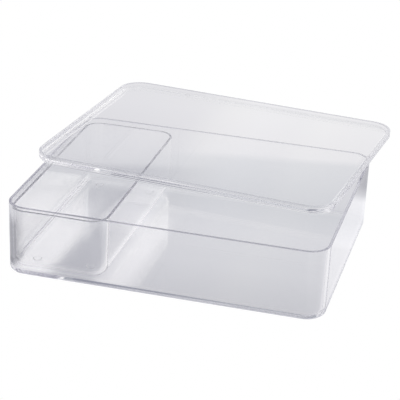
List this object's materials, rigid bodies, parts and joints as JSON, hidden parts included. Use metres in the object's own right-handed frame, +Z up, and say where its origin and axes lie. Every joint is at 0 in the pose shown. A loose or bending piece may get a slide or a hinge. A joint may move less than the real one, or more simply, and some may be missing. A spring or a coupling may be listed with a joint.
{
  "type": "acrylic storage box with lid",
  "caption": "Shallow clear rectangular storage box with rounded corners, a full-depth inner tray and a lift-off lid lying askew across its rim.",
  "frame": {"origin": "centre of the box's flat base, on the surface it stands on", "axes": "+Z up, +X to the right along the box's length, front at -Y, tray at the -X end"},
  "size_m": [0.2548, 0.2692, 0.0615],
  "materials": {
    "clear_acrylic": "clear, colourless and polished"
  },
  "bodies": {
    "box": {"box": "clear_acrylic"},
    "tray": {"tray": "clear_acrylic"},
    "lid": {"lid": "clear_acrylic"}
  },
  "joints": [
    {"name": "lid_lift", "type": "slide", "parent": "box", "child": "lid", "axis": [0, 0, 1], "range_m": [0, 0.12]},
    {"name": "tray_slide", "type": "slide", "parent": "box", "child": "tray", "axis": [1, 0, 0], "range_m": [0, 0.16]}
  ]
}
